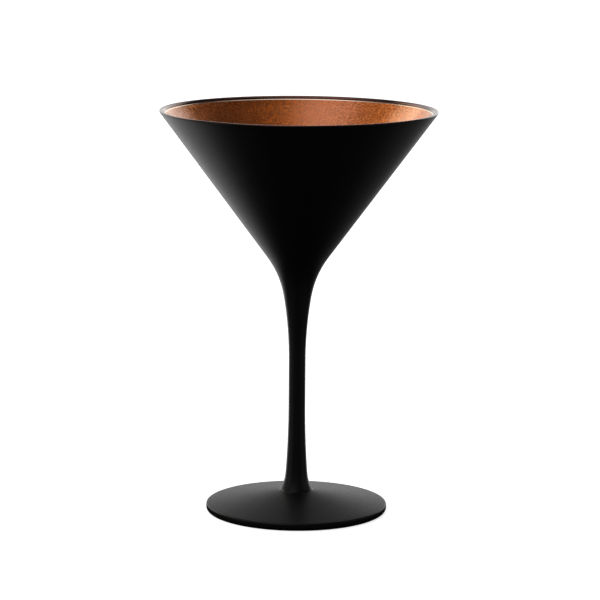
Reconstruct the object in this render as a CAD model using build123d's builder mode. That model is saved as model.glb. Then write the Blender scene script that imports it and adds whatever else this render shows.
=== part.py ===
"""Martini glass, coated black outside and bronze inside the bowl.

Three pieces of glass are fused into one stemware blank: the conical bowl, the drawn stem and the foot.
A black lacquer covers the whole outside, round the lip and under the foot, and a bronze lacquer lines
the bowl. Every piece is a body of revolution about +Z, and the glass stands on z = 0 with its axis
through the origin. All lengths are in millimetres and all angles in degrees.
"""

from build123d import *
from math import cos, radians, sin, tan
import os

# Overall
glass_height = 172.0
rim_radius = 58.6
foot_radius = 38.6

# Bowl: a straight cone, cut level at the lip and softened there more on the inside than on the outside,
# with a rounded well at the bottom of its hollow
cone_half_angle = 36.4
wall_thickness = 1.3
lip_outer_round = 0.45
lip_inner_round = 1.9
well_radius = 8.0

# Stem: a straight waist, a taper and then a shoulder up to the cone, a flare and then a base down to
# the foot. The angles are from the vertical, where each arc ends.
waist_radius = 3.58
taper_radius, taper_angle = 165.5, 9.5
shoulder_radius = 39.85
flare_radius, flare_angle = 400.0, 4.2
base_radius, base_angle = 20.0, 25.0
base_fillet = 1.8

# Foot: a shallow cone on top, an edge that is rounded more below than above, and a slightly hollow
# underside inside a flat ring
foot_slope = 9.73
foot_edge_height = 3.15
foot_upper_round = 0.7
foot_lower_round = 1.45
rest_ring_inner_radius = 34.4
underside_rise = 3.0
foot_joint_height = 11.5

# Lacquer
coat_thickness = 0.15
lining_drop = 1.0


def turn_out(from_angle, to_angle):
    """How far a profile arc of unit radius moves outwards as it turns away from the vertical."""
    return cos(radians(from_angle)) - cos(radians(to_angle))


def turn_along(from_angle, to_angle):
    """How far a profile arc of unit radius moves along the axis as it turns away from the vertical."""
    return sin(radians(to_angle)) - sin(radians(from_angle))


# Directions in the half section, whose first axis is the radius and second axis the height
up_the_wall = Vector(sin(radians(cone_half_angle)), cos(radians(cone_half_angle)))
out_of_the_wall = Vector(up_the_wall.Y, -up_the_wall.X)

# The lip's two corners before they are rounded
whole_wall = wall_thickness + 2 * coat_thickness
lip_corner_reach = lip_outer_round / tan(radians(90 - cone_half_angle) / 2)
outer_top = Vector(rim_radius - lip_outer_round + lip_corner_reach, glass_height)
inner_top = outer_top - Vector(whole_wall / out_of_the_wall.X, 0)

# The hollow: where its cone would meet the axis, and the well that rounds it off
hollow_apex_height = glass_height - inner_top.X / tan(radians(cone_half_angle))
well_centre = Vector(0, hollow_apex_height + well_radius / up_the_wall.X)
well_bottom = well_centre - Vector(0, well_radius)
well_edge = well_centre + out_of_the_wall * well_radius

# The waist's top is where the taper and the shoulder must start to run smoothly into the cone
shoulder_top_radius = (
    waist_radius
    + taper_radius * turn_out(0, taper_angle)
    + shoulder_radius * turn_out(taper_angle, cone_half_angle)
)
shoulder_top_height = glass_height - (outer_top.X - shoulder_top_radius) / tan(radians(cone_half_angle))
bowl_joint_height = shoulder_top_height - shoulder_radius * turn_along(taper_angle, cone_half_angle)
waist_top = Vector(waist_radius, bowl_joint_height - taper_radius * turn_along(0, taper_angle))

# The waist's bottom is where the flare and the base must start to run smoothly into the foot
foot_top_angle = 90 - foot_slope
foot_top_inner_radius = (
    waist_radius
    + flare_radius * turn_out(0, flare_angle)
    + base_radius * turn_out(flare_angle, base_angle)
    + base_fillet * turn_out(base_angle, foot_top_angle)
)
foot_top_inner_height = foot_edge_height + (foot_radius - foot_top_inner_radius) * tan(radians(foot_slope))
waist_bottom = Vector(
    waist_radius,
    foot_top_inner_height
    + base_fillet * turn_along(base_angle, foot_top_angle)
    + base_radius * turn_along(flare_angle, base_angle)
    + flare_radius * turn_along(0, flare_angle),
)

foot_bottom_corner = Vector(foot_radius, 0)
foot_top_corner = Vector(foot_radius, foot_edge_height)
rest_ring_inner = Vector(rest_ring_inner_radius, 0)
underside_centre = Vector(0, underside_rise)


# Section through the whole glass with its coats
with BuildSketch(Plane.XZ) as coated_section:
    with BuildLine():
        Line(waist_bottom, waist_top)
        taper = JernArc(waist_top, (0, 1), taper_radius, -taper_angle)
        shoulder = JernArc(taper @ 1, taper % 1, shoulder_radius, taper_angle - cone_half_angle)
        Line(shoulder @ 1, outer_top)
        Line(outer_top, inner_top)
        Line(inner_top, well_edge)
        TangentArc(well_bottom, well_edge, tangent=(1, 0))
        Line(well_bottom, underside_centre)
        TangentArc(underside_centre, rest_ring_inner, tangent=(1, 0))
        Line(rest_ring_inner, foot_bottom_corner)
        Line(foot_bottom_corner, foot_top_corner)
        flare = JernArc(waist_bottom, (0, -1), flare_radius, flare_angle)
        base = JernArc(flare @ 1, flare % 1, base_radius, base_angle - flare_angle)
        onto_foot = JernArc(base @ 1, base % 1, base_fillet, foot_top_angle - base_angle)
        Line(onto_foot @ 1, foot_top_corner)
    make_face()
    fillet(coated_section.vertices().sort_by_distance(foot_top_corner)[:1], foot_upper_round)
    fillet(coated_section.vertices().sort_by_distance(foot_bottom_corner)[:1], foot_lower_round)
    fillet(coated_section.vertices().sort_by_distance(outer_top)[:1], lip_outer_round)
    fillet(coated_section.vertices().sort_by_distance(inner_top)[:1], lip_inner_round)
    mirror(about=Plane.YZ)

# Section through the bare glass: the same outline, one coat further in
with BuildSketch(Plane.XZ) as glass_section:
    add(coated_section)
    offset(amount=-coat_thickness, mode=Mode.REPLACE)

# Section through the lacquer, black and bronze together
with BuildSketch(Plane.XZ) as lacquer_section:
    add(coated_section)
    add(glass_section, mode=Mode.SUBTRACT)

# Everything on the inner side of the middle of the bowl's wall, up to the edge of the lining
lining_edge = inner_top - up_the_wall * (lining_drop / up_the_wall.Y)
to_mid_wall = out_of_the_wall * (whole_wall / 2)
with BuildSketch(Plane.XZ) as inner_zone:
    with BuildLine():
        Polyline(
            Vector(0, hollow_apex_height) - Vector(0, whole_wall / 2 / up_the_wall.X),
            lining_edge + to_mid_wall,
            lining_edge - to_mid_wall,
            Vector(0, glass_height),
            close=True,
        )
    make_face()


def keep_between(bottom, top):
    """Keep the right half of the current sketch between two heights."""
    with Locations((0, bottom)):
        Rectangle(
            rim_radius,
            top - bottom,
            align=(Align.MIN, Align.MIN),
            mode=Mode.INTERSECT,
        )


# Glass
with BuildPart() as bowl:
    with BuildSketch(Plane.XZ):
        add(glass_section)
        keep_between(bowl_joint_height, glass_height)
    revolve(axis=Axis.Z)

with BuildPart() as stem:
    with BuildSketch(Plane.XZ):
        add(glass_section)
        keep_between(foot_joint_height, bowl_joint_height)
    revolve(axis=Axis.Z)

with BuildPart() as foot:
    with BuildSketch(Plane.XZ):
        add(glass_section)
        keep_between(0, foot_joint_height)
    revolve(axis=Axis.Z)

# Black lacquer: one coat, cut where the pieces of glass are fused
with BuildPart() as bowl_lacquer:
    with BuildSketch(Plane.XZ):
        add(lacquer_section)
        keep_between(bowl_joint_height, glass_height)
        add(inner_zone, mode=Mode.SUBTRACT)
    revolve(axis=Axis.Z)

with BuildPart() as stem_lacquer:
    with BuildSketch(Plane.XZ):
        add(lacquer_section)
        keep_between(foot_joint_height, bowl_joint_height)
    revolve(axis=Axis.Z)

with BuildPart() as foot_lacquer:
    with BuildSketch(Plane.XZ):
        add(lacquer_section)
        keep_between(0, foot_joint_height)
    revolve(axis=Axis.Z)

# Bronze lacquer inside the bowl
with BuildPart() as bronze_lining:
    with BuildSketch(Plane.XZ):
        add(lacquer_section)
        keep_between(bowl_joint_height, glass_height)
        add(inner_zone, mode=Mode.INTERSECT)
    revolve(axis=Axis.Z)


pieces = {
    "bowl": bowl,
    "stem": stem,
    "foot": foot,
    "bowl_lacquer": bowl_lacquer,
    "stem_lacquer": stem_lacquer,
    "foot_lacquer": foot_lacquer,
    "bronze_lining": bronze_lining,
}

os.makedirs("parts", exist_ok=True)
for node_name, piece in pieces.items():
    piece.part.label = node_name
    export_step(piece.part, f"parts/{node_name}.step")
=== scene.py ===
"""Looks for the martini glass: smooth coats, their materials, a pale studio and the camera."""

import math

import bpy
from mathutils import Matrix, Vector


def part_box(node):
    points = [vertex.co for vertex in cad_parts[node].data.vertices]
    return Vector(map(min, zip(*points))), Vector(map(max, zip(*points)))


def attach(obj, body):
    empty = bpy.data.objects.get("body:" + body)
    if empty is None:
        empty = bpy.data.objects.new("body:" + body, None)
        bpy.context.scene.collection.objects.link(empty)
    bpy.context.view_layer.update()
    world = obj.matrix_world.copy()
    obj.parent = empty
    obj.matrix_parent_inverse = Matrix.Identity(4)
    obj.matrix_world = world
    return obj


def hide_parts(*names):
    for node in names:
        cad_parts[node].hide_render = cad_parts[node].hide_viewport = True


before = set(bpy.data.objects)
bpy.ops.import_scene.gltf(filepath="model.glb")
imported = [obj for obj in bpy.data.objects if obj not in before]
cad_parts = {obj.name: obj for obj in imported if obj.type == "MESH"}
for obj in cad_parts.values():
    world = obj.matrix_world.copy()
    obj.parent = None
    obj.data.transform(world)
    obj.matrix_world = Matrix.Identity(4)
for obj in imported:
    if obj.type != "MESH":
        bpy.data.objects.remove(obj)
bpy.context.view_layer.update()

MM = 0.001

# Sizes that the frame gives
rim_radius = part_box("bowl_lacquer")[1].x
glass_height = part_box("bowl_lacquer")[1].z
foot_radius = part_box("foot_lacquer")[1].x

# Sizes of the section, as in the CAD model
cone_half_angle = 36.4
wall_thickness = 1.3 * MM
lip_outer_round = 0.45 * MM
lip_inner_round = 1.9 * MM
well_radius = 8.0 * MM
waist_radius = 3.58 * MM
taper_radius, taper_angle = 165.5 * MM, 9.5
shoulder_radius = 39.85 * MM
flare_radius, flare_angle = 400.0 * MM, 4.2
base_radius, base_angle = 20.0 * MM, 25.0
base_fillet = 1.8 * MM
foot_slope = 9.73
foot_edge_height = 3.15 * MM
foot_upper_round = 0.7 * MM
foot_lower_round = 1.45 * MM
rest_ring_inner_radius = 34.4 * MM
underside_rise = 3.0 * MM
coat_thickness = 0.15 * MM
lining_drop = 1.0 * MM

# Sizes of the fine ridge along the edge of the lining: its steep rise, its round top, and its long fall,
# which blends into the wall
ridge_rise, ridge_rise_angle = 0.65 * MM, 19.5
ridge_fall_angle = 5.0
ridge_round = 0.3 * MM
ridge_blend = 1.0 * MM

# Fineness of the lathed meshes
SEGMENTS = 256
LONGEST_STEP = 3.0 * MM
DEGREES_PER_STEP = 6.0
FEWEST_ARC_STEPS = 6
ON_AXIS = 1e-7


# ---------------------------------------------------------------- profiles


def heading_vector(degrees):
    """Unit vector in the half section, from the direction of growing radius."""
    return Vector((math.cos(math.radians(degrees)), math.sin(math.radians(degrees))))


class Profile:
    """A line walked in the half section, whose points hold the radius, the height and the heading."""

    def __init__(self, start, heading):
        self.heading = heading
        self.points = [(Vector(start), heading)]

    def here(self):
        return self.points[-1][0]

    def line(self, length):
        steps = max(1, math.ceil(length / LONGEST_STEP))
        start = self.here()
        for i in range(1, steps + 1):
            place = start + heading_vector(self.heading) * (length * i / steps)
            self.points.append((place, self.heading))

    def line_to_height(self, height):
        self.line((height - self.here().y) / heading_vector(self.heading).y)

    def line_to_radius(self, radius):
        self.line((radius - self.here().x) / heading_vector(self.heading).x)

    def arc(self, radius, turn):
        """Positive turns are anticlockwise."""
        length = radius * math.radians(abs(turn))
        steps = max(
            FEWEST_ARC_STEPS,
            math.ceil(abs(turn) / DEGREES_PER_STEP),
            math.ceil(length / LONGEST_STEP),
        )
        side = math.copysign(90, turn)
        centre = self.here() + heading_vector(self.heading + side) * radius
        first = self.heading
        for i in range(1, steps + 1):
            heading = first + turn * i / steps
            place = centre - heading_vector(heading + side) * radius
            self.points.append((place, heading))
        self.heading = first + turn

    def turn_in_place(self, turn):
        """A corner: its point keeps the mean heading, so that offsets stay parallel on both sides."""
        place, heading = self.points[-1]
        self.points[-1] = (place, heading + turn / 2)
        self.heading += turn

    def places(self):
        return [place for place, _ in self.points]

    def beside(self, distance):
        """The same line, moved to its left by a distance."""
        return [place + heading_vector(heading + 90) * distance for place, heading in self.points]


def lathe(name, section):
    """A closed body of revolution from a closed section; points on the axis become single vertices."""
    vertices, rings = [], []
    for place in section:
        if place.x < ON_AXIS:
            rings.append([len(vertices)] * SEGMENTS)
            vertices.append((0.0, 0.0, place.y))
            continue
        rings.append(list(range(len(vertices), len(vertices) + SEGMENTS)))
        for i in range(SEGMENTS):
            angle = math.tau * i / SEGMENTS
            vertices.append((place.x * math.cos(angle), place.x * math.sin(angle), place.y))
    faces = []
    for ring, following in zip(rings, rings[1:] + rings[:1]):
        for i in range(SEGMENTS):
            j = (i + 1) % SEGMENTS
            corners = list(dict.fromkeys((ring[i], ring[j], following[j], following[i])))
            if len(corners) > 2:
                faces.append(corners)
    mesh = bpy.data.meshes.new(name)
    mesh.from_pydata(vertices, [], faces)
    mesh.validate()
    mesh.shade_smooth()
    piece = bpy.data.objects.new(name, mesh)
    bpy.context.scene.collection.objects.link(piece)
    return piece


# ---------------------------------------------------------------- the coats

wall_heading = 90 - cone_half_angle
up_the_wall = heading_vector(wall_heading)
out_of_the_wall = heading_vector(wall_heading - 90)
whole_wall = wall_thickness + 2 * coat_thickness

# The lip's two corners before they are rounded, and the edge of the lining below them
lip_corner_reach = lip_outer_round / math.tan(math.radians(wall_heading / 2))
outer_top = Vector((rim_radius - lip_outer_round + lip_corner_reach, glass_height))
inner_top = outer_top - Vector((whole_wall / out_of_the_wall.x, 0))
lining_edge = inner_top - up_the_wall * (lining_drop / up_the_wall.y)


def turn_out(from_angle, to_angle):
    """How far an arc of unit radius moves outwards as it turns away from the vertical."""
    return math.cos(math.radians(from_angle)) - math.cos(math.radians(to_angle))


def turn_along(from_angle, to_angle):
    """How far an arc of unit radius moves along the axis as it turns away from the vertical."""
    return math.sin(math.radians(to_angle)) - math.sin(math.radians(from_angle))


def black_profile():
    """From the edge of the lining, over the lip, down the outside and under the foot to the axis."""
    outline = Profile(lining_edge, wall_heading)
    inner_reach = lip_inner_round * math.tan(math.radians(wall_heading / 2))
    outline.line((inner_top - lining_edge).length - inner_reach)
    outline.arc(lip_inner_round, -wall_heading)
    outline.line_to_radius(rim_radius - lip_outer_round)
    outline.arc(lip_outer_round, wall_heading - 180)
    shoulder_top_radius = (
        waist_radius
        + taper_radius * turn_out(0, taper_angle)
        + shoulder_radius * turn_out(taper_angle, cone_half_angle)
    )
    outline.line_to_radius(shoulder_top_radius)
    outline.arc(shoulder_radius, cone_half_angle - taper_angle)
    outline.arc(taper_radius, taper_angle)
    foot_top_angle = 90 - foot_slope
    foot_top_inner_radius = (
        waist_radius
        + flare_radius * turn_out(0, flare_angle)
        + base_radius * turn_out(flare_angle, base_angle)
        + base_fillet * turn_out(base_angle, foot_top_angle)
    )
    foot_top_inner_height = foot_edge_height + (foot_radius - foot_top_inner_radius) * math.tan(
        math.radians(foot_slope)
    )
    drop_of_arcs = (
        base_fillet * turn_along(base_angle, foot_top_angle)
        + base_radius * turn_along(flare_angle, base_angle)
        + flare_radius * turn_along(0, flare_angle)
    )
    outline.line_to_height(foot_top_inner_height + drop_of_arcs)
    outline.arc(flare_radius, flare_angle)
    outline.arc(base_radius, base_angle - flare_angle)
    outline.arc(base_fillet, foot_top_angle - base_angle)
    edge_reach = foot_upper_round * math.tan(math.radians(foot_top_angle / 2))
    outline.line_to_radius(foot_radius - edge_reach * math.cos(math.radians(foot_slope)))
    outline.arc(foot_upper_round, -foot_top_angle)
    outline.line_to_height(foot_lower_round)
    outline.arc(foot_lower_round, -90)
    outline.line_to_radius(rest_ring_inner_radius)
    hollow_radius = (rest_ring_inner_radius**2 + underside_rise**2) / (2 * underside_rise)
    hollow_angle = math.degrees(math.asin(rest_ring_inner_radius / hollow_radius))
    outline.turn_in_place(-hollow_angle)
    outline.arc(hollow_radius, hollow_angle)
    return outline


def bronze_faces():
    """The lining's face, from the ridge at its edge to the axis, and its back, which lies on the glass."""
    well_wall_radius = well_radius * out_of_the_wall.x
    back = Profile(lining_edge + out_of_the_wall * coat_thickness, wall_heading - 180)
    back.line_to_radius(well_wall_radius + coat_thickness * out_of_the_wall.x)
    back.arc(well_radius + coat_thickness, -wall_heading)
    face = Profile(back.points[0][0], wall_heading + 90)
    face.line(coat_thickness)
    face.turn_in_place(90 - ridge_rise_angle)
    face.line(ridge_rise)
    face.arc(ridge_round, ridge_rise_angle + ridge_fall_angle)
    ridge_height = (
        ridge_rise * math.sin(math.radians(ridge_rise_angle))
        + ridge_round * turn_out(ridge_fall_angle, ridge_rise_angle)
        - ridge_blend * turn_out(0, ridge_fall_angle)
    )
    face.line(ridge_height / math.sin(math.radians(ridge_fall_angle)))
    face.arc(ridge_blend, -ridge_fall_angle)
    face.line_to_radius(well_wall_radius)
    face.arc(well_radius, -wall_heading)
    return face, back


black = black_profile()
black_coat = lathe("black_coat", black.places() + list(reversed(black.beside(-coat_thickness))))
bronze_face, bronze_back = bronze_faces()
bronze_coat = lathe("bronze_coat", bronze_face.places() + list(reversed(bronze_back.places()[1:])))


# ---------------------------------------------------------------- materials


class Nodes:
    """Adds nodes to a material or world, and joins them."""

    def __init__(self, owner):
        owner.use_nodes = True
        self.tree = owner.node_tree

    def add(self, kind, values=None, **settings):
        node = self.tree.nodes.new(kind)
        for name, value in settings.items():
            setattr(node, name, value)
        for socket, value in (values or {}).items():
            self.put(node.inputs[socket], value)
        return node

    def put(self, socket, value):
        if isinstance(value, bpy.types.NodeSocket):
            self.tree.links.new(value, socket)
        else:
            socket.default_value = value

    def noise(self, where, size, detail=2.0):
        """Smooth noise from 0 to 1 whose features are about this size."""
        return self.add(
            "ShaderNodeTexNoise", {"Vector": where, "Scale": 1 / size, "Detail": detail}
        ).outputs["Fac"]

    def span(self, value, low, high, from_low=0.0, from_high=1.0):
        """A value moved from one range to another, clamped."""
        return self.add(
            "ShaderNodeMapRange",
            {"Value": value, "From Min": from_low, "From Max": from_high, "To Min": low, "To Max": high},
        ).outputs["Result"]

    def blend(self, share, first, second):
        """A colour between two colours."""
        node = self.add("ShaderNodeMix", data_type="RGBA")
        self.put(node.inputs["Factor"], share)
        self.put(node.inputs["A"], first)
        self.put(node.inputs["B"], second)
        return node.outputs["Result"]

    def maths(self, operation, first, second=0.0):
        return self.add("ShaderNodeMath", {0: first, 1: second}, operation=operation).outputs["Value"]

    def vector(self, operation, *values):
        node = self.add("ShaderNodeVectorMath", operation=operation)
        for socket, value in zip(node.inputs, values):
            self.put(socket, value)
        return node.outputs["Value" if operation == "DOT_PRODUCT" else "Vector"]


def colour(red, green, blue):
    return (red, green, blue, 1.0)


def new_material(name):
    material = bpy.data.materials.new(name)
    nodes = Nodes(material)
    shader = nodes.tree.nodes["Principled BSDF"]
    where = nodes.add("ShaderNodeTexCoord").outputs["Object"]
    return material, nodes, shader, where


# Depth through the wall, from its inner face, over which the black lacquer on the lip stops being thin
THIN_LACQUER_ENDS = (1.25 * MM, 1.55 * MM)

# Depth below the edge of the lining over which the painted highlight on the ridge, a pale colour, gives
# way to the flakes
RIDGE_HIGHLIGHT_ENDS = (0.38 * MM, 0.52 * MM)


def black_lacquer():
    """Matte sprayed lacquer: black, with a soft sheen at grazing angles and a very fine orange peel.
    On top of the lip it is thin, and is a dark brown with a slight gloss."""
    material, nodes, shader, where = new_material("black_lacquer")
    cloud = nodes.noise(where, 18 * MM)
    shade = nodes.blend(cloud, colour(0.0035, 0.0035, 0.0036), colour(0.0065, 0.0062, 0.0062))
    place = nodes.add("ShaderNodeSeparateXYZ", {"Vector": where}).outputs
    level = nodes.vector("MULTIPLY", where, (1.0, 1.0, 0.0))
    radius = nodes.add("ShaderNodeVectorMath", {0: level}, operation="LENGTH").outputs["Value"]
    outwards = nodes.maths("MULTIPLY", nodes.maths("SUBTRACT", radius, inner_top.x), out_of_the_wall.x)
    upwards = nodes.maths("MULTIPLY", nodes.maths("SUBTRACT", place["Z"], inner_top.y), out_of_the_wall.y)
    through_wall = nodes.maths("ADD", outwards, upwards)
    thin = nodes.span(through_wall, 1.0, 0.0, *THIN_LACQUER_ENDS)
    brown = colour(0.08, 0.024, 0.013)
    nodes.put(shader.inputs["Base Color"], nodes.blend(thin, shade, brown))
    nodes.put(shader.inputs["Metallic"], thin)
    nodes.put(shader.inputs["Coat Weight"], nodes.span(thin, 0.0, 0.35))
    shader.inputs["Coat Roughness"].default_value = 0.1
    grain = nodes.noise(where, 1.1 * MM, detail=4.0)
    sprayed = nodes.span(grain, 0.32, 0.40, 0.3, 0.7)
    nodes.put(shader.inputs["Roughness"], nodes.span(thin, sprayed, 0.18))
    peel = nodes.noise(where, 0.45 * MM, detail=3.0)
    bump = nodes.add("ShaderNodeBump", {"Strength": 0.12, "Distance": 0.02 * MM, "Height": peel})
    nodes.put(shader.inputs["Normal"], bump.outputs["Normal"])
    shader.inputs["IOR"].default_value = 1.5
    shader.inputs["Specular IOR Level"].default_value = 0.15
    return material


def bronze_lacquer():
    """Satin metallic lacquer under a clear coat: fine flakes that lie at slightly different angles.
    On the ridge a pale painted highlight, smoother and without tilted flakes."""
    material, nodes, shader, where = new_material("bronze_lacquer")
    flakes = nodes.add(
        "ShaderNodeTexVoronoi", {"Vector": where, "Scale": 1 / (0.4 * MM), "Randomness": 1.0}
    ).outputs["Color"]
    tone = nodes.add("ShaderNodeSeparateColor", {"Color": flakes}).outputs["Red"]
    flake_colour = nodes.blend(tone, colour(0.43, 0.085, 0.004), colour(0.69, 0.21, 0.06))
    height = nodes.add("ShaderNodeSeparateXYZ", {"Vector": where}).outputs["Z"]
    highlight_until, flakes_from = RIDGE_HIGHLIGHT_ENDS
    # Painted highlight: the ridge gets a pale colour that stands in for the bright line of light along the
    # lining's edge
    ridge_highlight_band = nodes.span(height, 0.0, 1.0, lining_edge.y - flakes_from, lining_edge.y - highlight_until)
    painted_highlight = colour(1.0, 0.76, 0.62)
    nodes.put(shader.inputs["Base Color"], nodes.blend(ridge_highlight_band, flake_colour, painted_highlight))
    satin = nodes.span(tone, 0.34, 0.46)
    nodes.put(shader.inputs["Roughness"], nodes.span(ridge_highlight_band, satin, 0.15))
    shader.inputs["Metallic"].default_value = 1.0
    shader.inputs["Specular Tint"].default_value = colour(1.0, 1.0, 0.8)
    shader.inputs["Coat Weight"].default_value = 0.9
    shader.inputs["Coat Roughness"].default_value = 0.15
    tilt = nodes.vector("SUBTRACT", flakes, (0.5, 0.5, 0.5))
    tilt = nodes.vector("MULTIPLY", tilt, nodes.span(ridge_highlight_band, 0.4, 0.0))
    normal = nodes.add("ShaderNodeNewGeometry").outputs["Normal"]
    tilted = nodes.vector("NORMALIZE", nodes.vector("ADD", normal, tilt))
    nodes.put(shader.inputs["Normal"], tilted)
    return material


def clear_glass():
    """Clear glass with the faint waviness of a drawn and blown surface."""
    material, nodes, shader, where = new_material("clear_glass")
    waves = nodes.noise(where, 9 * MM)
    tint = nodes.blend(waves, colour(0.97, 0.99, 0.985), colour(0.99, 1.0, 0.995))
    nodes.put(shader.inputs["Base Color"], tint)
    nodes.put(shader.inputs["Roughness"], nodes.span(waves, 0.01, 0.04))
    bump = nodes.add("ShaderNodeBump", {"Strength": 0.05, "Distance": 0.1 * MM, "Height": waves})
    nodes.put(shader.inputs["Normal"], bump.outputs["Normal"])
    shader.inputs["Transmission Weight"].default_value = 1.0
    shader.inputs["IOR"].default_value = 1.52
    return material


FLOOR_GLOW = 0.75


def studio_floor():
    """Seamless white paper."""
    material, nodes, shader, where = new_material("studio_floor")
    fibre = nodes.noise(where, 40 * MM)
    paper = nodes.blend(fibre, colour(0.9, 0.9, 0.9), colour(0.92, 0.92, 0.92))
    nodes.put(shader.inputs["Base Color"], paper)
    shader.inputs["Roughness"].default_value = 0.9
    shader.inputs["Specular IOR Level"].default_value = 0.1
    shader.inputs["Emission Color"].default_value = colour(1, 1, 1)
    shader.inputs["Emission Strength"].default_value = FLOOR_GLOW
    return material


def give(piece, material):
    """This material alone, on every face."""
    piece.data.materials.clear()
    piece.data.materials.append(material)


glass = clear_glass()
for node in ("bowl", "stem", "foot"):
    give(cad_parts[node], glass)
give(black_coat, black_lacquer())
give(bronze_coat, bronze_lacquer())

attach(black_coat, "root")
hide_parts("bowl_lacquer", "stem_lacquer", "foot_lacquer")
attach(bronze_coat, "root")
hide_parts("bronze_lining")


# ---------------------------------------------------------------- studio

FLOOR_HALF_WIDTH = 4.0
CARD_RADIUS = 70 * MM
CARD_DEPTH = 0.5 * MM


def make_floor():
    """White paper that the glass neither reflects nor is lit by."""
    w = FLOOR_HALF_WIDTH
    mesh = bpy.data.meshes.new("studio_floor")
    mesh.from_pydata([(-w, -w, 0), (w, -w, 0), (w, w, 0), (-w, w, 0)], [], [(0, 1, 2, 3)])
    floor = bpy.data.objects.new("studio_floor", mesh)
    bpy.context.scene.collection.objects.link(floor)
    give(floor, studio_floor())
    floor.visible_glossy = False
    floor.visible_diffuse = False


def make_dark_card():
    """A black card under the foot, which only reflections see: painted shade that stands in for the shaded
    table beside the foot, so that the foot's edge stays dark.
    """
    mesh = bpy.data.meshes.new("dark_card")
    ring = [math.tau * i / SEGMENTS for i in range(SEGMENTS)]
    corners = [(CARD_RADIUS * math.cos(a), CARD_RADIUS * math.sin(a), -CARD_DEPTH) for a in ring]
    mesh.from_pydata(corners, [], [list(range(SEGMENTS))])
    card = bpy.data.objects.new("dark_card", mesh)
    bpy.context.scene.collection.objects.link(card)
    material, nodes, shader, where = new_material("dark_card")
    shade_noise = nodes.noise(where, 2 * MM)
    # Painted shade: a near-black colour with faint noise, for the card that the foot's edge reflects
    painted_shade_colour = nodes.blend(shade_noise, colour(0.004, 0.004, 0.004), colour(0.006, 0.006, 0.006))
    nodes.put(shader.inputs["Base Color"], painted_shade_colour)
    shader.inputs["Roughness"].default_value = 1.0
    shader.inputs["Specular IOR Level"].default_value = 0.0
    give(card, material)
    card.visible_camera = False
    card.visible_diffuse = False
    card.visible_shadow = False


def from_angles(azimuth, elevation):
    """Unit vector: azimuth 0 is behind the glass, 90 is to its right; elevation is above the horizon."""
    a, e = math.radians(azimuth), math.radians(elevation)
    return (math.sin(a) * math.cos(e), math.cos(a) * math.cos(e), math.sin(e))


WHITE = (1.0, 1.0, 1.0)
WARM = (1.0, 0.98, 0.75)

# Soft lights around the glass: azimuth, elevation, half-angle of the bright middle, half-angle where the
# light fades out, strength and tint
SOFT_LIGHTS = {
    "backdrop_left": (-30, 8, 12, 38, 1.05, WHITE),
    "backdrop_middle": (0, -6, 8, 24, 0.30, WHITE),
    "backdrop_right": (28, 8, 10, 32, 1.45, WHITE),
    "key": (-50, 28, 7, 20, 2.10, WARM),
    "left": (-100, 10, 10, 34, 0.75, WHITE),
    "right": (100, 10, 10, 34, 0.48, WHITE),
    "table_left": (-36, -28, 8, 32, 1.10, WHITE),
    "table_middle": (0, -28, 8, 32, 0.20, WHITE),
    "table_right": (36, -28, 8, 32, 0.10, WHITE),
    "top": (-90, 80, 8, 34, 0.80, WHITE),
    "top_back": (0, 66, 8, 28, 0.75, WHITE),
    "front_left": (-145, 48, 8, 32, 1.05, WHITE),
    "front": (180, 18, 10, 40, 0.20, WHITE),
    "room_left": (-130, -14, 14, 44, 0.12, WHITE),
    "room_right": (130, -14, 14, 44, 0.10, WHITE),
}
DIM_ROOM = (0.03, 0.03, 0.03)


def make_world():
    """A dim room with soft lights for the glass to reflect, and plain white where the camera sees it."""
    world = bpy.data.worlds.new("studio")
    bpy.context.scene.world = world
    nodes = Nodes(world)
    direction = nodes.add("ShaderNodeTexCoord").outputs["Generated"]
    total = DIM_ROOM
    for azimuth, elevation, bright, faded, strength, tint in SOFT_LIGHTS.values():
        near = nodes.vector("DOT_PRODUCT", direction, from_angles(azimuth, elevation))
        light = nodes.add(
            "ShaderNodeMapRange",
            {
                "Value": near,
                "From Min": math.cos(math.radians(faded)),
                "From Max": math.cos(math.radians(bright)),
                "To Min": 0.0,
                "To Max": strength,
            },
            interpolation_type="SMOOTHSTEP",
        ).outputs["Result"]
        total = nodes.vector("MULTIPLY_ADD", light, tint, total)
    seen = nodes.add("ShaderNodeLightPath").outputs["Is Camera Ray"]
    lit = nodes.tree.nodes["Background"]
    nodes.put(lit.inputs["Color"], nodes.blend(seen, total, colour(1, 1, 1)))


# The camera stands in front of the glass, looks slightly down and is turned a little about its own axis.
# Its sensor and lens are in Blender's millimetres, its angles in degrees.
SENSOR_WIDTH = 36.0
FOCAL_LENGTH = 169.4
CAMERA_PLACE = (1.0 * MM, -1178.9 * MM, 299.2 * MM)
CAMERA_PITCH_DOWN = 10.01
CAMERA_ROLL = 0.42


def make_camera():
    data = bpy.data.cameras.new("camera")
    data.sensor_width = SENSOR_WIDTH
    data.lens = FOCAL_LENGTH
    data.clip_start, data.clip_end = 0.05, 50.0
    camera = bpy.data.objects.new("camera", data)
    bpy.context.scene.collection.objects.link(camera)
    bpy.context.scene.camera = camera
    tilt = Matrix.Rotation(math.radians(90 - CAMERA_PITCH_DOWN), 4, "X")
    roll = Matrix.Rotation(math.radians(CAMERA_ROLL), 4, "Z")
    camera.matrix_world = Matrix.Translation(CAMERA_PLACE) @ tilt @ roll


make_floor()
make_dark_card()
make_world()
make_camera()
bpy.context.scene.view_settings.view_transform = "Standard"
